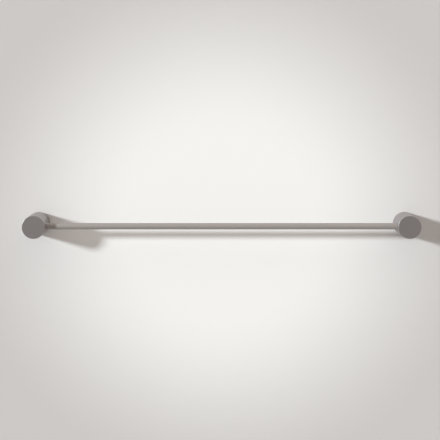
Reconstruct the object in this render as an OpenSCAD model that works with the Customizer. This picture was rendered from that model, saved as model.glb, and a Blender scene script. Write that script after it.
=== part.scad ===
// Wall-mounted towel rail: a slim tube held between two plain round posts.
// Each post is bored out from behind and slips over a round plate that is
// screwed to the wall. A cone-point set screw in the post's underside bites
// in the plate's groove and draws the post tight to the wall. A second set
// screw, reached through the open back of the post, holds the bar in its
// blind socket.
// Millimetres. X runs along the rail, +Z is up, the wall's surface is y = 0
// and the rail stands out of it towards -Y. The origin is on the wall,
// midway between the posts.

/* [Rail] */
// Distance between the axes of the two posts
centre_distance = 700; // [300:5:1200]
// Distance from the wall to the bar's axis
bar_standoff = 58; // [52:0.5:66]

/* [Bar] */
// Outside diameter of the bar
bar_d = 12; // [10:0.5:16]
// Wall of the bar's tube
bar_wall = 1; // [0.8:0.1:2]
// Bevel at the bar's two ends
bar_bevel = 0.3; // [0.1:0.1:0.6]

/* [Posts] */
// Outside diameter of a post
post_d = 43; // [41:0.5:60]
// How far a post stands out of the wall
post_projection = 80; // [76:0.5:100]
// Round on the edge of a post's front face
post_edge_r = 0.6; // [0.2:0.1:2]
// Bevel round a post's rear rim
post_rim_bevel = 0.4; // [0.2:0.1:0.8]
// Wall of a post round the bore in its back
post_wall = 4; // [3:0.25:5]
// Bevel at the bore's mouth
bore_bevel = 0.5; // [0.2:0.1:1]
// Round in the corner of the bore's floor
bore_corner_r = 2; // [0.5:0.5:4]
// Metal left between the bore's floor and the bar's socket
web_t = 6; // [4:0.5:8]

/* [Bar sockets] */
// How far a socket runs past the post's axis
socket_past_axis = 8; // [6:0.5:12]
// Radial clearance between the bar and its socket
bar_clearance = 0.05; // [0.03:0.01:0.15]
// Gap between the bar's end and the socket's floor
bar_end_gap = 0.5; // [0.2:0.1:1.5]

/* [Bar end plugs] */
// Length of the solid plug pressed in each end of the tube
plug_length = 20; // [16:1:40]
// Bevel at the plug's two ends
plug_bevel = 0.6; // [0.2:0.1:1]
// How far the plug is set back from the tube's end
plug_recess = 0.4; // [0:0.1:1]
// Radial clearance between the plug and the tube
plug_clearance = 0.02; // [0.01:0.01:0.05]

/* [Wall plates] */
// Thickness of a wall plate
plate_t = 10; // [9.5:0.5:14]
// Radial clearance between a wall plate and the post's bore
plate_clearance = 0.1; // [0.05:0.01:0.25]
// Bevel on a wall plate's two edges
plate_bevel = 0.6; // [0.2:0.1:1]
// Depth of the groove that the post's set screw bites in
groove_depth = 2.6; // [2.2:0.1:3]
// Distance from the wall to the middle of the groove
groove_from_wall = 5.5; // [5:0.1:6]
// How much further out the set screw sits, so that it draws the post in
draw_offset = 0.3; // [0.1:0.1:0.5]

/* [Wall screws] */
// Distance between the two screws of a wall plate
wall_screw_spacing = 22; // [16:0.5:22]
// Outside diameter of the screw's thread
wall_screw_d = 4; // [3.5:0.1:4.4]
// Diameter of the plain shank below the head
wall_screw_shank_d = 2.9; // [2.5:0.1:3.2]
// Diameter of the countersunk head
wall_screw_head_d = 8; // [7:0.1:8.4]
// Height of the straight edge of the head
wall_screw_head_rim = 0.2; // [0.1:0.1:0.4]
// Overall length of the screw
wall_screw_length = 40; // [25:1:60]
// Length of the screw's point
wall_screw_point = 4; // [2:0.5:6]
// Length over which the thread runs out into the shank
wall_screw_runout = 1; // [0.5:0.1:2]
// How far the head lies below the plate's face
wall_screw_recess = 0.1; // [0:0.05:0.5]
// Diameter of the plain hole through the plate
wall_screw_hole_d = 4.8; // [4.6:0.1:5]
// Span of the head's cross recess
cross_span = 4.4; // [3.6:0.1:5]
// Width of a wing of the cross recess
cross_wing = 1; // [0.8:0.1:1.2]
// Depth of the cross recess
cross_depth = 2; // [1.5:0.1:2.2]

/* [Set screws] */
// Outside diameter of both kinds of set screw
set_screw_d = 5; // [4:0.5:5]
// Width across the flats of the hexagon socket
set_screw_key = 2.5; // [2:0.5:2.5]
// Depth of the hexagon socket
set_screw_key_depth = 2; // [1.5:0.1:2.5]
// Bevel at the socket end
set_screw_bevel = 0.4; // [0.2:0.1:0.6]
// How far the cone-point screw's socket end lies inside the post's surface
post_screw_recess = 0.35; // [0.2:0.05:1]
// How far the cup-point screw's socket end lies inside the bore's floor
bar_screw_recess = 0; // [0:0.1:1]
// Diameter of the cup's rim
cup_d = 2.5; // [2:0.1:3]
// Depth of the cup
cup_depth = 0.8; // [0.4:0.1:1]
// Radial clearance between a set screw and its tapped hole
thread_clearance = 0.05; // [0.02:0.01:0.1]
// Bevel at the mouth of the hole in a post's underside
screw_hole_bevel = 0.4; // [0.2:0.1:0.8]
// Gap between a seated screw and what it bears on
seat_gap = 0.03; // [0.01:0.01:0.1]

/* [Hidden] */

$fn = 96;
LEFT = -1;
RIGHT = 1;
UPPER = 1;
LOWER = -1;
// Overrun of a cutter past the face that it opens
eps = 1;
// Gap along the normal of a 45 degree flank, measured across the flank
flank_gap = seat_gap * sqrt(2);

satin_metal = [0.56, 0.54, 0.53];
plain_steel = [0.74, 0.74, 0.73];
dark_steel = [0.22, 0.22, 0.23];

post_r = post_d / 2;
bore_r = post_r - post_wall;
bar_r = bar_d / 2;
socket_r = bar_r + bar_clearance;
bore_depth = bar_standoff - socket_r - web_t;
bar_past_axis = socket_past_axis - bar_end_gap;
bar_length = centre_distance + 2 * bar_past_axis;
plug_r = bar_r - bar_wall - plug_clearance;

plate_r = bore_r - plate_clearance;
groove_bottom_r = plate_r - groove_depth;
head_r = wall_screw_head_d / 2;
// Where the flank of a countersink meets the plate's face
sink_r = head_r + wall_screw_head_rim + wall_screw_recess + flank_gap;
wall_hole_r = wall_screw_hole_d / 2;

set_screw_r = set_screw_d / 2;
set_hole_r = set_screw_r + thread_clearance;
post_screw_from_wall = groove_from_wall + draw_offset;
post_screw_tip_r = groove_bottom_r + draw_offset + flank_gap;
post_screw_length = post_r - post_screw_recess - post_screw_tip_r;
bar_screw_tip = bar_standoff - bar_r - seat_gap;
bar_screw_length = bar_screw_tip - bar_screw_recess - bore_depth;

// Shared forms

// Puts what is drawn along +Z on the wall, standing out of it
module from_wall() {
    rotate([90, 0, 0]) children();
}

// Puts what is drawn for the right-hand post at either post
module at_post(side) {
    mirror([side == LEFT ? 1 : 0, 0, 0])
        translate([centre_distance / 2, 0, 0])
            from_wall() children();
}

// Half section of a turned cylinder with a round on its far edge
module round_edged_section(r, h, edge) {
    square([r, h - edge]);
    square([r - edge, h]);
    translate([r - edge, h - edge]) circle(edge);
}

// Half section of a cylinder with a bevel on both edges
module bevelled_section(r, h, bevel) {
    polygon([
        [0, 0], [r - bevel, 0], [r, bevel],
        [r, h - bevel], [r - bevel, h], [0, h]
    ]);
}

// Rail bar

module rail_bar() {
    color(satin_metal)
        translate([-bar_length / 2, -bar_standoff, 0])
            rotate([0, 90, 0])
                difference() {
                    rotate_extrude() bevelled_section(bar_r, bar_length, bar_bevel);
                    translate([0, 0, -eps]) cylinder(h = bar_length + 2 * eps, r = bar_r - bar_wall);
                }
}

module bar_end_plug() {
    color(plain_steel)
        translate([bar_past_axis - plug_recess, 0, bar_standoff])
            rotate([0, -90, 0])
                rotate_extrude() bevelled_section(plug_r, plug_length, plug_bevel);
}

// Posts

// Outside of the post, less the bore in its back
module turned_post() {
    rotate_extrude()
        difference() {
            round_edged_section(post_r, post_projection, post_edge_r);
            polygon([
                [post_r - post_rim_bevel, 0], [post_r + eps, -eps],
                [post_r + eps, post_rim_bevel + eps], [post_r, post_rim_bevel]
            ]);
            round_edged_section(bore_r, bore_depth, bore_corner_r);
            polygon([[0, 0], [bore_r + bore_bevel, 0], [bore_r, bore_bevel], [0, bore_bevel]]);
        }
}

// Blind socket for the bar, open on the side that faces the other post
module bar_socket() {
    translate([-post_r - eps, 0, bar_standoff])
        rotate([0, 90, 0]) cylinder(h = post_r + eps + socket_past_axis, r = socket_r);
}

// Tapped hole from the bore's floor into the socket
module bar_screw_hole() {
    translate([0, 0, bore_depth - eps])
        cylinder(h = bar_standoff - bore_depth + eps, r = set_hole_r);
}

// Tapped hole through the wall of the bore, in the post's underside
module post_screw_hole() {
    translate([0, 0, post_screw_from_wall])
        rotate([90, 0, 0]) {
            translate([0, 0, groove_bottom_r]) cylinder(h = post_r, r = set_hole_r);
            translate([0, 0, post_r - screw_hole_bevel])
                cylinder(h = eps, r1 = set_hole_r, r2 = set_hole_r + eps);
        }
}

module post() {
    color(satin_metal)
        difference() {
            turned_post();
            bar_socket();
            bar_screw_hole();
            post_screw_hole();
        }
}

// Wall plates

// Countersunk hole, drawn from the wall outwards
module wall_screw_hole() {
    sink_depth = sink_r - wall_hole_r;
    translate([0, 0, -eps]) cylinder(h = plate_t + 2 * eps, r = wall_hole_r);
    translate([0, 0, plate_t - sink_depth])
        cylinder(h = sink_depth + eps, r1 = wall_hole_r, r2 = sink_r + eps);
}

module wall_plate() {
    color(plain_steel)
        difference() {
            rotate_extrude()
                difference() {
                    bevelled_section(plate_r, plate_t, plate_bevel);
                    polygon([
                        [groove_bottom_r, groove_from_wall],
                        [plate_r + eps, groove_from_wall - groove_depth - eps],
                        [plate_r + eps, groove_from_wall + groove_depth + eps]
                    ]);
                }
            for (level = [LOWER, UPPER])
                translate([0, level * wall_screw_spacing / 2, 0]) wall_screw_hole();
        }
}

// Screws

// Hexagon socket, its mouth at the origin and its floor below
module key_socket() {
    translate([0, 0, -set_screw_key_depth])
        cylinder(h = set_screw_key_depth + eps, d = set_screw_key / cos(30), $fn = 6);
}

// Cone-point set screw, its tip at the origin and its socket up
module cone_point_screw(length) {
    difference() {
        rotate_extrude()
            polygon([
                [0, 0], [set_screw_r, set_screw_r],
                [set_screw_r, length - set_screw_bevel],
                [set_screw_r - set_screw_bevel, length], [0, length]
            ]);
        translate([0, 0, length]) key_socket();
    }
}

// Cup-point set screw, its rim at the origin's level and its socket down
module cup_point_screw(length) {
    point_h = set_screw_r - cup_d / 2;
    difference() {
        rotate_extrude()
            polygon([
                [0, -cup_depth], [cup_d / 2, 0], [set_screw_r, -point_h],
                [set_screw_r, set_screw_bevel - length],
                [set_screw_r - set_screw_bevel, -length], [0, -length]
            ]);
        translate([0, 0, -length]) mirror([0, 0, 1]) key_socket();
    }
}

// Set screw in the post's underside, seated in the plate's groove
module post_set_screw() {
    color(dark_steel)
        translate([0, 0, post_screw_from_wall])
            rotate([90, 0, 0])
                translate([0, 0, post_screw_tip_r]) cone_point_screw(post_screw_length);
}

// Set screw in the web, seated on the bar
module bar_set_screw() {
    color(dark_steel)
        translate([0, 0, bar_screw_tip]) cup_point_screw(bar_screw_length);
}

// Two crossed wings that narrow towards the recess's floor
module cross_recess() {
    intersection() {
        translate([0, 0, -cross_depth])
            cylinder(h = cross_depth + eps, r1 = cross_wing / 2, r2 = cross_span / 2 + eps);
        union() {
            for (turn = [0, 90])
                rotate([0, 0, turn])
                    translate([-cross_span / 2, -cross_wing / 2, -cross_depth])
                        cube([cross_span, cross_wing, cross_depth + eps]);
        }
    }
}

// Countersunk wall screw, from its point in the wall out to its head
module wall_screw(level) {
    head_top = plate_t - wall_screw_recess;
    head_base = head_top - wall_screw_head_rim;
    shank_r = wall_screw_shank_d / 2;
    thread_r = wall_screw_d / 2;
    point = head_top - wall_screw_length;
    color(plain_steel)
        translate([0, level * wall_screw_spacing / 2, 0])
            difference() {
                rotate_extrude()
                    polygon([
                        [0, point], [thread_r, point + wall_screw_point],
                        [thread_r, 0], [shank_r, wall_screw_runout],
                        [shank_r, head_base - (head_r - shank_r)],
                        [head_r, head_base], [head_r, head_top], [0, head_top]
                    ]);
                translate([0, 0, head_top]) cross_recess();
            }
}

rail_bar();
at_post(LEFT) post();  // left_post
at_post(RIGHT) post();  // right_post
at_post(LEFT) wall_plate();  // left_wall_plate
at_post(RIGHT) wall_plate();  // right_wall_plate
at_post(LEFT) post_set_screw();  // left_post_set_screw
at_post(RIGHT) post_set_screw();  // right_post_set_screw
at_post(LEFT) bar_set_screw();  // left_bar_set_screw
at_post(RIGHT) bar_set_screw();  // right_bar_set_screw
at_post(LEFT) bar_end_plug();  // left_bar_end_plug
at_post(RIGHT) bar_end_plug();  // right_bar_end_plug
at_post(LEFT) wall_screw(UPPER);  // left_upper_wall_screw
at_post(LEFT) wall_screw(LOWER);  // left_lower_wall_screw
at_post(RIGHT) wall_screw(UPPER);  // right_upper_wall_screw
at_post(RIGHT) wall_screw(LOWER);  // right_lower_wall_screw
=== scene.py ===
"""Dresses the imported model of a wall-mounted towel rail and lights it for its picture.

The bar, the posts, the wall plates and the bar's end plugs keep their solids and get brushed or turned metal.
The wall screws and the set screws are modelled here, with the threads that their solids leave out.
Everything is in metres: X runs along the rail, +Z is up, and the rail stands out of the wall towards -Y.
"""

import logging
import math
from collections.abc import Mapping, Sequence
from dataclasses import dataclass
from enum import Enum

import bmesh
import bpy
from mathutils import Matrix, Vector


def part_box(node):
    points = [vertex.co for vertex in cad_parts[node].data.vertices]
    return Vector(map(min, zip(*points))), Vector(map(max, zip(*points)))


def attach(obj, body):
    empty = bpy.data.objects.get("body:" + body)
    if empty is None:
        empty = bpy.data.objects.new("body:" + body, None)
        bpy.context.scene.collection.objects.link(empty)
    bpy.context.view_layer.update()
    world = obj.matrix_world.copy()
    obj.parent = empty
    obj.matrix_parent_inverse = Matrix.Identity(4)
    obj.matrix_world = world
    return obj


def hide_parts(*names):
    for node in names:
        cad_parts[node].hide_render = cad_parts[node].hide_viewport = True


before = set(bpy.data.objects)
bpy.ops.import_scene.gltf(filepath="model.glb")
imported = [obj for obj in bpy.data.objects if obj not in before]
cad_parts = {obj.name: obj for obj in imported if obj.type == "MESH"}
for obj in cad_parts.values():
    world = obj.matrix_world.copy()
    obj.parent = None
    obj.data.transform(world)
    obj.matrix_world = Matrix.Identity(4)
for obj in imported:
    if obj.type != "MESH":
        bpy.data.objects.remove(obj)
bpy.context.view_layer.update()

LOG = logging.getLogger("towel_rail")
BODY = "root"
MM = 0.001
FULL_TURN = 2 * math.pi
# Vertices closer together than this are one
WELD = 1e-6
# Edges that turn more than this stay crisp under smooth shading
CRISP_ANGLE = math.radians(32)

Colour = tuple[float, float, float]
Outline = Sequence[tuple[float, float]]


class Side(Enum):
    """The two ends of the rail."""

    LEFT = "left"
    RIGHT = "right"


class Level(Enum):
    """The two screws of a wall plate."""

    UPPER = "upper"
    LOWER = "lower"


class Lay(Enum):
    """Which way the marks of the last tool run over a surface."""

    ROUND = "round"
    ALONG = "along"
    NONE = "none"


class Signal:
    """One output of a shader node. Arithmetic on it adds Math nodes."""

    def __init__(self, graph: "Graph", socket: bpy.types.NodeSocket) -> None:
        """Wraps an output socket of one of the graph's nodes."""
        self.graph = graph
        self.socket = socket

    def __add__(self, other: "Signal | float") -> "Signal":
        """Adds a signal or a number."""
        return self.graph.math("ADD", self, other)

    def __radd__(self, other: float) -> "Signal":
        """Is added to a number."""
        return self.graph.math("ADD", other, self)

    def __sub__(self, other: "Signal | float") -> "Signal":
        """Takes away a signal or a number."""
        return self.graph.math("SUBTRACT", self, other)

    def __rsub__(self, other: float) -> "Signal":
        """Is taken away from a number."""
        return self.graph.math("SUBTRACT", other, self)

    def __mul__(self, other: "Signal | float") -> "Signal":
        """Multiplies by a signal or a number."""
        return self.graph.math("MULTIPLY", self, other)

    def __rmul__(self, other: float) -> "Signal":
        """Multiplies a number."""
        return self.graph.math("MULTIPLY", other, self)

    def __truediv__(self, other: "Signal | float") -> "Signal":
        """Divides by a signal or a number."""
        return self.graph.math("DIVIDE", self, other)

    def __pow__(self, other: "Signal | float") -> "Signal":
        """Raises to a power."""
        return self.graph.math("POWER", self, other)


class Graph:
    """The node tree of a material or of the world, built from expressions."""

    def __init__(self, tree: bpy.types.NodeTree) -> None:
        """Starts from an empty tree."""
        self.tree = tree
        tree.nodes.clear()

    def node(
        self,
        kind: str,
        settings: Mapping[str, object] | None = None,
        inputs: Mapping[str | int, object] | None = None,
        output: str | int = 0,
    ) -> Signal | None:
        """Adds one node.

        Args:
            kind: The node's Blender type.
            settings: Properties of the node, set before its sockets.
            inputs: A value or a signal for each input socket, by name or number.
            output: The output socket that is wanted, by name or number.

        Returns:
            The wanted output, or None from a node that has none.
        """
        made = self.tree.nodes.new(kind)
        for name, value in (settings or {}).items():
            setattr(made, name, value)
        for key, value in (inputs or {}).items():
            if isinstance(value, Signal):
                self.tree.links.new(value.socket, made.inputs[key])
            else:
                made.inputs[key].default_value = value
        return Signal(self, made.outputs[output]) if made.outputs else None

    def math(self, operation: str, *terms: "Signal | float") -> Signal:
        """Adds one Math node over the given terms."""
        return self.node("ShaderNodeMath", {"operation": operation}, dict(enumerate(terms)))

    def rise(self, value: Signal, low: float, high: float) -> Signal:
        """Rises smoothly from 0 at low to 1 at high."""
        return self.node(
            "ShaderNodeMapRange",
            {"interpolation_type": "SMOOTHSTEP"},
            {"Value": value, "From Min": low, "From Max": high},
        )

    def split(self, point: Signal) -> tuple[Signal, ...]:
        """Gives the X, Y and Z of a vector."""
        first = self.node("ShaderNodeSeparateXYZ", inputs={0: point})
        return tuple(Signal(self, socket) for socket in first.socket.node.outputs)

    def point(self, x: Signal, y: Signal, z: Signal) -> Signal:
        """Makes a vector of three numbers."""
        return self.node("ShaderNodeCombineXYZ", inputs={0: x, 1: y, 2: z})

    def noise(self, point: Signal, scale: float, detail: float) -> Signal:
        """Gives noise about 0.5 at a point, with so many features to a unit."""
        return self.node(
            "ShaderNodeTexNoise",
            inputs={"Vector": point, "Scale": scale, "Detail": detail},
        )

    def blend(self, factor: Signal, first: "Signal | Colour", second: "Signal | Colour") -> Signal:
        """Gives a colour between two others."""
        ends = [end if isinstance(end, Signal) else (*end, 1.0) for end in (first, second)]
        values = {0: factor, 6: ends[0], 7: ends[1]}
        return self.node("ShaderNodeMix", {"data_type": "RGBA"}, values, output=2)


@dataclass(frozen=True)
class MetalFinish:
    """A metal surface: its colour, its sheen and the marks of the tool that finished it.

    The drifts are the most by which a value strays to either side, as a share of the colour
    and as a difference in roughness.
    """

    colour: Colour
    metallic: float
    roughness: float
    lay: Lay
    mark_width: float
    mark_length: float
    mark_depth: float
    mark_colour_drift: float
    mark_roughness_drift: float
    cloud_size: float
    cloud_colour_drift: float
    cloud_roughness_drift: float

    def material(self, name: str, centre: Vector) -> bpy.types.Material:
        """Makes the material for one piece.

        Args:
            name: The material's name.
            centre: A point on the axis that round marks run about.

        Returns:
            The material, with its pattern centred on the piece.
        """
        made = bpy.data.materials.new(name)
        made.use_nodes = True
        graph = Graph(made.node_tree)
        place = graph.node("ShaderNodeTexCoord", output="Object")
        centred = graph.node("ShaderNodeMapping", inputs={"Vector": place, "Location": -centre})
        fine = graph.noise(self.along_marks(graph, centred), scale=1.0, detail=3.0) - 0.5
        broad = graph.noise(self.along_marks(graph, centred), scale=0.21, detail=2.0) - 0.5
        cloud = graph.noise(centred, scale=1 / self.cloud_size, detail=3.0) - 0.5
        marks = fine + broad
        shade = 0.5 + marks * self.share(self.mark_colour_drift) + cloud * self.share(self.cloud_colour_drift)
        drift = self.mark_colour_drift + self.cloud_colour_drift
        surface = graph.node(
            "ShaderNodeBsdfPrincipled",
            inputs={
                "Base Color": graph.blend(shade, self.shaded(1 - drift), self.shaded(1 + drift)),
                "Metallic": self.metallic,
                "Roughness": self.roughness
                + marks * (2 * self.mark_roughness_drift)
                + cloud * (2 * self.cloud_roughness_drift),
                "Normal": graph.node(
                    "ShaderNodeBump",
                    inputs={"Height": fine + broad * 0.5, "Distance": self.mark_depth},
                ),
            },
        )
        graph.node("ShaderNodeOutputMaterial", inputs={"Surface": surface})
        return made

    def share(self, drift: float) -> float:
        """Scales one drift to its share of the whole span of shades."""
        return drift / (self.mark_colour_drift + self.cloud_colour_drift)

    def shaded(self, factor: float) -> Colour:
        """Gives the finish's colour, lighter or darker by a factor."""
        return tuple(channel * factor for channel in self.colour)

    def along_marks(self, graph: Graph, centred: Signal) -> Signal:
        """Stretches space along the marks, so that noise in it draws them.

        Args:
            graph: The material's node tree.
            centred: A point, measured from the piece's centre.

        Returns:
            The point, in mark widths across the marks and in mark lengths along them.
        """
        x, y, z = graph.split(centred)
        if self.lay is Lay.ROUND:
            across = (x * x + z * z) ** 0.5 - y
            return graph.point(x / self.mark_length, across / self.mark_width, z / self.mark_length)
        if self.lay is Lay.ALONG:
            return graph.point(x / self.mark_length, y / self.mark_width, z / self.mark_width)
        return graph.point(x / self.mark_width, y / self.mark_width, z / self.mark_width)


SATIN_POST = MetalFinish(
    colour=(0.326, 0.299, 0.301),
    metallic=0.79,
    roughness=0.36,
    lay=Lay.ROUND,
    mark_width=0.35 * MM,
    mark_length=22 * MM,
    mark_depth=0.012 * MM,
    mark_colour_drift=0.05,
    mark_roughness_drift=0.05,
    cloud_size=30 * MM,
    cloud_colour_drift=0.02,
    cloud_roughness_drift=0.02,
)
SATIN_BAR = MetalFinish(
    colour=(0.358, 0.328, 0.313),
    metallic=0.5,
    roughness=0.65,
    lay=Lay.ALONG,
    mark_width=0.3 * MM,
    mark_length=30 * MM,
    mark_depth=0.012 * MM,
    mark_colour_drift=0.05,
    mark_roughness_drift=0.05,
    cloud_size=40 * MM,
    cloud_colour_drift=0.02,
    cloud_roughness_drift=0.02,
)
TURNED_STEEL = MetalFinish(
    colour=(0.62, 0.62, 0.61),
    metallic=1.0,
    roughness=0.34,
    lay=Lay.ROUND,
    mark_width=0.25 * MM,
    mark_length=40 * MM,
    mark_depth=0.02 * MM,
    mark_colour_drift=0.06,
    mark_roughness_drift=0.08,
    cloud_size=15 * MM,
    cloud_colour_drift=0.03,
    cloud_roughness_drift=0.04,
)
PLATED_STEEL = MetalFinish(
    colour=(0.66, 0.66, 0.64),
    metallic=1.0,
    roughness=0.3,
    lay=Lay.NONE,
    mark_width=0.6 * MM,
    mark_length=0.6 * MM,
    mark_depth=0.01 * MM,
    mark_colour_drift=0.05,
    mark_roughness_drift=0.07,
    cloud_size=6 * MM,
    cloud_colour_drift=0.04,
    cloud_roughness_drift=0.05,
)
BLACK_OXIDE = MetalFinish(
    colour=(0.1, 0.1, 0.105),
    metallic=0.8,
    roughness=0.42,
    lay=Lay.NONE,
    mark_width=0.3 * MM,
    mark_length=0.3 * MM,
    mark_depth=0.01 * MM,
    mark_colour_drift=0.15,
    mark_roughness_drift=0.08,
    cloud_size=3 * MM,
    cloud_colour_drift=0.15,
    cloud_roughness_drift=0.05,
)


class TurnedMesh:
    """A mesh shaped about the Z axis, its working end up."""

    def __init__(self, steps: int) -> None:
        """Starts empty, with so many steps to a turn."""
        self.bm = bmesh.new()
        self.steps = steps

    def drawn(self, outline: Outline) -> list[bmesh.types.BMVert | bmesh.types.BMEdge]:
        """Draws a line through points given as a radius and a height, and returns its geometry."""
        verts = [self.bm.verts.new((radius, 0.0, height)) for radius, height in outline]
        return [*verts, *(self.bm.edges.new(pair) for pair in zip(verts, verts[1:]))]

    def revolve(self, outline: Outline) -> None:
        """Turns an outline once round the axis."""
        bmesh.ops.spin(
            self.bm,
            geom=self.drawn(outline),
            axis=(0.0, 0.0, 1.0),
            angle=FULL_TURN,
            steps=self.steps,
            use_merge=True,
        )

    def wind(self, outline: Outline, pitch: float, turns: int) -> None:
        """Turns the outline of one thread up a helix.

        Args:
            outline: The thread from one root to the next, a pitch apart.
            pitch: The rise in one turn.
            turns: How many turns are wound.
        """
        bmesh.ops.spin(
            self.bm,
            geom=self.drawn(outline),
            axis=(0.0, 0.0, 1.0),
            angle=FULL_TURN * turns,
            steps=self.steps * turns,
            dvec=(0.0, 0.0, pitch / self.steps),
        )
        bmesh.ops.remove_doubles(self.bm, verts=self.bm.verts, dist=WELD)

    def cut(self, height: float, keep: int) -> None:
        """Cuts square across the axis, and keeps what is above (1) or below (-1) the cut."""
        bmesh.ops.bisect_plane(
            self.bm,
            geom=[*self.bm.verts, *self.bm.edges, *self.bm.faces],
            dist=WELD,
            plane_co=(0.0, 0.0, height),
            plane_no=(0.0, 0.0, keep),
            clear_inner=True,
        )

    def narrow(self, limit: Outline) -> None:
        """Holds every vertex inside an outline of radius and height, in rising order of height."""
        for vert in self.bm.verts:
            radius = math.hypot(vert.co.x, vert.co.y)
            allowed = radius
            for (low_radius, low), (high_radius, high) in zip(limit, limit[1:]):
                if low <= vert.co.z <= high:
                    share = (vert.co.z - low) / (high - low)
                    allowed = low_radius + share * (high_radius - low_radius)
            if radius > allowed:
                vert.co.x *= allowed / radius
                vert.co.y *= allowed / radius

    def rim(self, height: float) -> list[bmesh.types.BMEdge]:
        """Finds the open edges at a height."""
        return [
            edge
            for edge in self.bm.edges
            if edge.is_boundary and all(abs(vert.co.z - height) < WELD * 10 for vert in edge.verts)
        ]

    def join(self, *rims: Sequence[bmesh.types.BMEdge]) -> None:
        """Bridges two open rims."""
        bmesh.ops.bridge_loops(self.bm, edges=[edge for rim in rims for edge in rim])

    def fill_between(self, *rims: Sequence[bmesh.types.BMEdge]) -> None:
        """Fills the flat ring between an outer rim and an inner one."""
        edges = [edge for rim in rims for edge in rim]
        bmesh.ops.triangle_fill(self.bm, use_beauty=True, edges=edges)

    def grow(
        self, rim: Sequence[bmesh.types.BMEdge], height: float, spread: float = 1.0
    ) -> list[bmesh.types.BMEdge]:
        """Extrudes an open rim.

        Args:
            rim: The open edges.
            height: Where the new rim lies.
            spread: The new rim's radius, as a share of the old one's.

        Returns:
            The new rim's edges.
        """
        made = bmesh.ops.extrude_edge_only(self.bm, edges=list(rim))["geom"]
        for vert in made:
            if isinstance(vert, bmesh.types.BMVert):
                vert.co = Vector((vert.co.x * spread, vert.co.y * spread, height))
        return [edge for edge in made if isinstance(edge, bmesh.types.BMEdge)]

    def close(self, rim: Sequence[bmesh.types.BMEdge], height: float) -> None:
        """Closes an open rim to a point on the axis."""
        tip = self.grow(rim, height, spread=0.5)
        verts = list({vert for edge in tip for vert in edge.verts})
        bmesh.ops.pointmerge(self.bm, verts=verts, merge_co=(0.0, 0.0, height))

    def polygon(self, sides: int, radius: float, height: float) -> list[bmesh.types.BMEdge]:
        """Draws an open regular polygon and returns its edges."""
        verts = bmesh.ops.create_circle(
            self.bm,
            segments=sides,
            radius=radius,
            matrix=Matrix.Translation((0.0, 0.0, height)),
        )["verts"]
        return list({edge for vert in verts for edge in vert.link_edges})

    def piece(self, name: str, node: str, place: Matrix, material: bpy.types.Material) -> bpy.types.Object:
        """Makes the finished piece.

        Args:
            name: The piece's name.
            node: The solid that it stands for.
            place: Takes the mesh to its place on the rail.
            material: The piece's metal.

        Returns:
            The piece, riding on the rail.
        """
        bmesh.ops.remove_doubles(self.bm, verts=self.bm.verts, dist=WELD)
        bmesh.ops.transform(self.bm, matrix=place, verts=self.bm.verts)
        bmesh.ops.recalc_face_normals(self.bm, faces=self.bm.faces)
        mesh = bpy.data.meshes.new(name)
        self.bm.to_mesh(mesh)
        self.bm.free()
        mesh.shade_smooth()
        mesh.set_sharp_from_angle(angle=CRISP_ANGLE)
        mesh.materials.append(material)
        made = bpy.data.objects.new(name, mesh)
        bpy.context.scene.collection.objects.link(made)
        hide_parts(node)
        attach(made, BODY)
        return made


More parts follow.
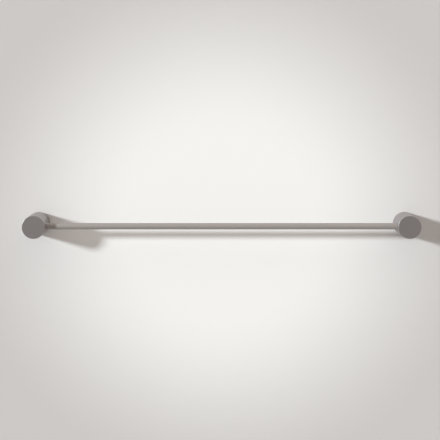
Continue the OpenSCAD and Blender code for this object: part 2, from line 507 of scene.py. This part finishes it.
@dataclass(frozen=True)
class WallScrew:
    """A countersunk wood screw, from its point at 0 up to its head."""

    thread_r: float = 1.98 * MM
    core_r: float = 1.3 * MM
    shank_r: float = 1.45 * MM
    pitch: float = 1.8 * MM
    point_length: float = 4 * MM
    runout: float = 1 * MM
    head_rim: float = 0.2 * MM
    head_bevel: float = 0.08 * MM
    cross_span: float = 4.4 * MM
    cross_wing: float = 1 * MM
    cross_depth: float = 2 * MM
    cross_floor: float = 0.4
    steps: int = 40

    def build(self, node: str) -> None:
        """Models the screw in the place of its solid.

        Args:
            node: The solid's name.
        """
        low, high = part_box(node)
        length = high.y - low.y
        head_r = (high.x - low.x) / 2
        thread_end = high.y
        mesh = TurnedMesh(self.steps)
        self.wind_thread(mesh, thread_end)
        self.turn_head(mesh, thread_end + self.runout, length, head_r)
        mesh.join(mesh.rim(thread_end), mesh.rim(thread_end + self.runout))
        self.sink_cross(mesh, length)
        centre = Vector(((low.x + high.x) / 2, high.y, (low.z + high.z) / 2))
        place = Matrix.Translation(centre) @ Matrix.Rotation(math.pi / 2, 4, "X")
        metal = PLATED_STEEL.material(f"plated_{node}", centre)
        mesh.piece(f"{node}_threaded", node, place, metal)
        LOG.info("%s: threaded screw, %.1f mm long", node, length / MM)

    def wind_thread(self, mesh: TurnedMesh, end: float) -> None:
        """Winds the thread from the point up to its end, where the wall begins."""
        turns = math.ceil(end / self.pitch) + 2
        outline = [
            (self.core_r, -self.pitch),
            (self.core_r, -0.72 * self.pitch),
            (self.thread_r, -0.4 * self.pitch),
            (self.thread_r, -0.34 * self.pitch),
            (self.core_r, 0.0),
        ]
        mesh.wind(outline, self.pitch, turns)
        mesh.cut(end, keep=-1)
        tip = self.point_length / 40
        mesh.cut(tip, keep=1)
        for vert in mesh.bm.verts:
            if vert.co.z < self.point_length:
                vert.co.x *= vert.co.z / self.point_length
                vert.co.y *= vert.co.z / self.point_length
        mesh.close(mesh.rim(tip), 0.0)

    def turn_head(self, mesh: TurnedMesh, start: float, top: float, head_r: float) -> None:
        """Turns the plain shank and the countersunk head, open at the top."""
        rim_base = top - self.head_rim
        mesh.revolve(
            [
                (self.shank_r, start),
                (self.shank_r, rim_base - (head_r - self.shank_r)),
                (head_r, rim_base),
                (head_r, top - self.head_bevel),
                (head_r - self.head_bevel, top),
            ]
        )

    def sink_cross(self, mesh: TurnedMesh, top: float) -> None:
        """Closes the head's face round a cross recess that narrows downwards."""
        rim = mesh.rim(top)
        half = self.cross_wing / 2
        lift = Matrix.Translation((0.0, 0.0, top))
        middle = bmesh.ops.create_grid(mesh.bm, x_segments=1, y_segments=1, size=half, matrix=lift)["verts"]
        cross = {face for vert in middle for face in vert.link_faces}
        sides = {edge for face in cross for edge in face.edges}
        for side in sides:
            outward = sum((vert.co for vert in side.verts), Vector()) / 2
            outward.z = 0.0
            wing = bmesh.ops.extrude_edge_only(mesh.bm, edges=[side])["geom"]
            verts = [item for item in wing if isinstance(item, bmesh.types.BMVert)]
            reach = outward.normalized() * (self.cross_span / 2 - half)
            bmesh.ops.translate(mesh.bm, verts=verts, vec=reach)
            cross |= {item for item in wing if isinstance(item, bmesh.types.BMFace)}
        mesh.fill_between(rim, [edge for face in cross for edge in face.edges if edge.is_boundary])
        region = cross | {edge for face in cross for edge in face.edges}
        region |= {vert for face in cross for vert in face.verts}
        sunk = bmesh.ops.extrude_face_region(mesh.bm, geom=list(region))["geom"]
        for vert in sunk:
            if isinstance(vert, bmesh.types.BMVert):
                spread = self.cross_floor
                vert.co = Vector((vert.co.x * spread, vert.co.y * spread, top - self.cross_depth))


class ScrewPoint(Enum):
    """The forms of a set screw's working end."""

    CONE = "cone"
    CUP = "cup"


@dataclass(frozen=True)
class SetScrew:
    """A headless screw, from its point at 0 up to its hexagon socket."""

    point: ScrewPoint
    core_r: float = 2.02 * MM
    thread_r: float = 2.49 * MM
    pitch: float = 0.8 * MM
    socket_bevel: float = 0.4 * MM
    key: float = 2.5 * MM
    key_depth: float = 2 * MM
    drill_depth: float = 0.5 * MM
    cup_r: float = 1.25 * MM
    cup_depth: float = 0.8 * MM
    steps: int = 48

    def build(self, node: str, place: Matrix, length: float) -> None:
        """Models the screw in the place of its solid.

        Args:
            node: The solid's name.
            place: Takes the screw's point and axis to their place.
            length: The screw's length.
        """
        mesh = TurnedMesh(self.steps)
        self.wind_thread(mesh, length)
        self.sink_socket(mesh, length)
        metal = BLACK_OXIDE.material(f"oxide_{node}", place.translation)
        mesh.piece(f"{node}_threaded", node, place, metal)
        LOG.info("%s: %s-point set screw, %.1f mm long", node, self.point.value, length / MM)

    def wind_thread(self, mesh: TurnedMesh, length: float) -> None:
        """Winds the thread, trims it to the bevel and the point, and closes the point."""
        root = 0.2 * self.pitch
        flank = 0.33 * self.pitch
        outline = [
            (self.core_r, -self.pitch),
            (self.core_r, root - self.pitch),
            (self.thread_r, root + flank - self.pitch),
            (self.thread_r, -flank),
            (self.core_r, 0.0),
        ]
        tip_r = self.cup_r if self.point is ScrewPoint.CUP else 0.0
        start = self.core_r - tip_r
        mesh.wind(outline, self.pitch, math.ceil(length / self.pitch) + 2)
        mesh.cut(length, keep=-1)
        mesh.cut(start, keep=1)
        mesh.narrow(
            [
                (self.core_r, start),
                (self.thread_r, start + self.thread_r - self.core_r),
                (self.thread_r, length - self.socket_bevel),
                (self.thread_r - self.socket_bevel, length),
            ]
        )
        if self.point is ScrewPoint.CUP:
            lip = mesh.grow(mesh.rim(start), 0.0, spread=self.cup_r / self.core_r)
            mesh.close(lip, self.cup_depth)
        else:
            mesh.close(mesh.rim(start), 0.0)

    def sink_socket(self, mesh: TurnedMesh, length: float) -> None:
        """Closes the end round a hexagon socket with a drilled floor."""
        hexagon = mesh.polygon(6, self.key / 2 / math.cos(math.pi / 6), length)
        mesh.fill_between(mesh.rim(length), hexagon)
        floor = mesh.grow(hexagon, length - self.key_depth)
        mesh.close(floor, length - self.key_depth - self.drill_depth)


def dress(node: str, finish: MetalFinish) -> None:
    """Gives a solid that stays its finish.

    Args:
        node: The solid's name.
        finish: The metal that it is made of.
    """
    low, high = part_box(node)
    metal = finish.material(f"{node}_metal", (low + high) / 2)
    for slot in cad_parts[node].material_slots:
        slot.material = metal
    LOG.info("%s: dressed, %.1f mm long", node, max(high - low) / MM)


@dataclass(frozen=True)
class Mounting:
    """One end of the rail: the post, the wall plate inside it and the screws that hold them."""

    side: Side

    def build(self) -> None:
        """Dresses the two solids and models the screws."""
        dress(self.part("post"), SATIN_POST)
        dress(self.part("wall_plate"), TURNED_STEEL)
        for level in Level:
            WallScrew().build(self.part(f"{level.value}_wall_screw"))
        self.build_post_screw()
        self.build_bar_screw()

    def part(self, name: str) -> str:
        """Names a part of this end."""
        return f"{self.side.value}_{name}"

    def build_post_screw(self) -> None:
        """Models the screw in the post's underside, its cone up in the plate's groove."""
        node = self.part("post_set_screw")
        low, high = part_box(node)
        tip = Vector(((low.x + high.x) / 2, (low.y + high.y) / 2, high.z))
        place = Matrix.Translation(tip) @ Matrix.Rotation(math.pi, 4, "X")
        SetScrew(ScrewPoint.CONE).build(node, place, high.z - low.z)

    def build_bar_screw(self) -> None:
        """Models the screw behind the bar, its cup against the tube."""
        node = self.part("bar_set_screw")
        low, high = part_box(node)
        tip = Vector(((low.x + high.x) / 2, low.y, (low.z + high.z) / 2))
        place = Matrix.Translation(tip) @ Matrix.Rotation(-math.pi / 2, 4, "X")
        SetScrew(ScrewPoint.CUP).build(node, place, high.y - low.y)


@dataclass(frozen=True)
class Rail:
    """The tube between the posts and the plugs in its ends."""

    def build(self) -> None:
        """Dresses the three solids."""
        dress("rail_bar", SATIN_BAR)
        for side in Side:
            dress(f"{side.value}_bar_end_plug", PLATED_STEEL)


@dataclass(frozen=True)
class Studio:
    """A pale wall and floor, a soft key light from the left, a pale sky and the camera. The wall's colour holds
    a painted pool of light that darkens to painted shade away from the rail.

    The wall and the floor show from their fronts only, so that a view from behind sees the rail.
    """

    half_width: float = 12.0
    wall_top: float = 6.0
    wall_gap: float = 0.2 * MM
    floor_level: float = -0.6
    opening_margin: float = 0.5 * MM
    opening_steps: int = 64
    wall_colour: Colour = (0.85, 0.84, 0.825)
    # Painted shade: the wall's colour fades from wall_colour near the rail's centre to the next colour, between
    # the two distances after it, as a painted pool of light
    wall_painted_shade_colour: Colour = (0.57, 0.545, 0.535)
    painted_light_pool_start: float = 0.16
    painted_light_pool_end: float = 0.52
    floor_colour: Colour = (0.5, 0.5, 0.5)
    key_strength: float = 2.95
    key_colour: Colour = (0.93, 1.0, 1.03)
    key_angle: float = math.radians(6.3)
    to_key: tuple[float, float, float] = (-1.3, -1.0, 0.385)
    horizon_colour: Colour = (0.783, 0.712, 0.669)
    zenith_colour: Colour = (1.3, 1.19, 1.11)
    zenith_height: float = 0.8
    front_colour: Colour = (0.11, 0.1, 0.094)
    front_start: float = 0.5
    front_end: float = 0.85
    camera_place: tuple[float, float, float] = (-0.0029, -2.582, 0.265)
    camera_pitch: float = math.radians(-5.73)
    frame_px: float = 440.0
    focal_px: float = 1354.0
    sensor_width: float = 36.0

    def build(self) -> None:
        """Builds everything round the rail."""
        self.build_wall()
        self.build_floor()
        self.light()
        self.build_sky()
        self.set_camera()
        LOG.info("studio: wall, floor, key light, sky and camera")

    def build_wall(self) -> None:
        """Builds the wall, with an opening behind each post that the post covers. Its colour carries a painted
        pool of light that darkens away from the rail's centre.
        """
        bm = bmesh.new()
        corners = [
            bm.verts.new((x * self.half_width, self.wall_gap, z))
            for x, z in ((-1, self.floor_level), (1, self.floor_level), (1, self.wall_top), (-1, self.wall_top))
        ]
        edges = [bm.edges.new((corners[i], corners[i - 1])) for i in range(len(corners))]
        for side in Side:
            low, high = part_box(f"{side.value}_post")
            centre = (low + high) / 2
            centre.y = self.wall_gap
            ring = bmesh.ops.create_circle(
                bm,
                segments=self.opening_steps,
                radius=(high.z - low.z) / 2 - self.opening_margin,
                matrix=Matrix.Translation(centre) @ Matrix.Rotation(math.pi / 2, 4, "X"),
            )["verts"]
            edges.extend({edge for vert in ring for edge in vert.link_edges})
        bmesh.ops.triangle_fill(bm, use_beauty=True, edges=edges, normal=(0.0, -1.0, 0.0))
        graph, finish = self.matt("pale_wall")
        x, _, z = graph.split(graph.node("ShaderNodeTexCoord", output="Object"))
        away = (x * x + z * z) ** 0.5
        # Painted pool of light: the wall's colour darkens with distance from the rail's centre, as painted
        # shade
        painted_light_falloff = graph.rise(away, self.painted_light_pool_start, self.painted_light_pool_end)
        self.one_sided(graph, graph.blend(painted_light_falloff, self.wall_colour, self.wall_painted_shade_colour))
        self.stage("wall", bm, finish, Vector((0.0, -1.0, 0.0)))

    def build_floor(self) -> None:
        """Builds the floor."""
        bm = bmesh.new()
        bmesh.ops.create_grid(
            bm,
            x_segments=1,
            y_segments=1,
            size=self.half_width,
            matrix=Matrix.Translation((0.0, 0.0, self.floor_level)),
        )
        graph, finish = self.matt("pale_floor")
        self.one_sided(graph, (*self.floor_colour, 1.0))
        self.stage("floor", bm, finish, Vector((0.0, 0.0, 1.0)))

    def matt(self, name: str) -> tuple[Graph, bpy.types.Material]:
        """Starts a material and its graph."""
        made = bpy.data.materials.new(name)
        made.use_nodes = True
        return Graph(made.node_tree), made

    def one_sided(self, graph: Graph, colour: "Signal | tuple[float, ...]") -> None:
        """Ends a graph in a matt surface that only its front shows.

        Args:
            graph: The material's node tree.
            colour: The surface's colour.
        """
        behind = graph.node("ShaderNodeNewGeometry", output="Backfacing")
        front = graph.node("ShaderNodeBsdfDiffuse", inputs={"Color": colour})
        clear = graph.node("ShaderNodeBsdfTransparent")
        surface = graph.node("ShaderNodeMixShader", inputs={0: behind, 1: front, 2: clear})
        graph.node("ShaderNodeOutputMaterial", inputs={"Surface": surface})

    def stage(self, name: str, bm: bmesh.types.BMesh, finish: bpy.types.Material, facing: Vector) -> None:
        """Makes a stage object of a flat mesh, turned to face the rail."""
        bm.normal_update()
        bmesh.ops.reverse_faces(bm, faces=[face for face in bm.faces if face.normal.dot(facing) < 0])
        mesh = bpy.data.meshes.new(name)
        bm.to_mesh(mesh)
        bm.free()
        mesh.materials.append(finish)
        made = bpy.data.objects.new(name, mesh)
        bpy.context.scene.collection.objects.link(made)

    def light(self) -> None:
        """Hangs the key light."""
        lamp = bpy.data.lights.new("key", "SUN")
        lamp.energy = self.key_strength
        lamp.color = self.key_colour
        lamp.angle = self.key_angle
        made = bpy.data.objects.new("key", lamp)
        made.rotation_mode = "QUATERNION"
        made.rotation_quaternion = Vector(self.to_key).to_track_quat("Z", "Y")
        bpy.context.scene.collection.objects.link(made)

    def build_sky(self) -> None:
        """Makes the world a soft sky, bright overhead and darker in front of the rail."""
        world = bpy.data.worlds.new("sky")
        world.use_nodes = True
        graph = Graph(world.node_tree)
        direction = graph.node("ShaderNodeTexCoord", output="Generated")
        _, depth, height = graph.split(direction)
        rise = graph.rise(height, 0.0, self.zenith_height)
        dome = graph.blend(rise, self.horizon_colour, self.zenith_colour)
        ahead = graph.rise(0.0 - depth, self.front_start, self.front_end)
        colour = graph.blend(ahead, dome, self.front_colour)
        sky = graph.node("ShaderNodeBackground", inputs={"Color": colour})
        graph.node("ShaderNodeOutputWorld", inputs={"Surface": sky})
        bpy.context.scene.world = world

    def set_camera(self) -> None:
        """Sets up the camera."""
        lens = bpy.data.cameras.new("camera")
        lens.sensor_width = self.sensor_width
        lens.lens = self.focal_px / self.frame_px * self.sensor_width
        made = bpy.data.objects.new("camera", lens)
        made.location = self.camera_place
        made.rotation_euler = (math.pi / 2 + self.camera_pitch, 0.0, 0.0)
        bpy.context.scene.collection.objects.link(made)
        bpy.context.scene.camera = made
        bpy.context.scene.view_settings.view_transform = "Standard"


def main() -> None:
    """Builds the studio, the two ends and the rail between them."""
    logging.basicConfig(level=logging.INFO, format="%(message)s")
    Studio().build()
    for side in Side:
        Mounting(side).build()
    Rail().build()


if __name__ == "__main__":
    main()
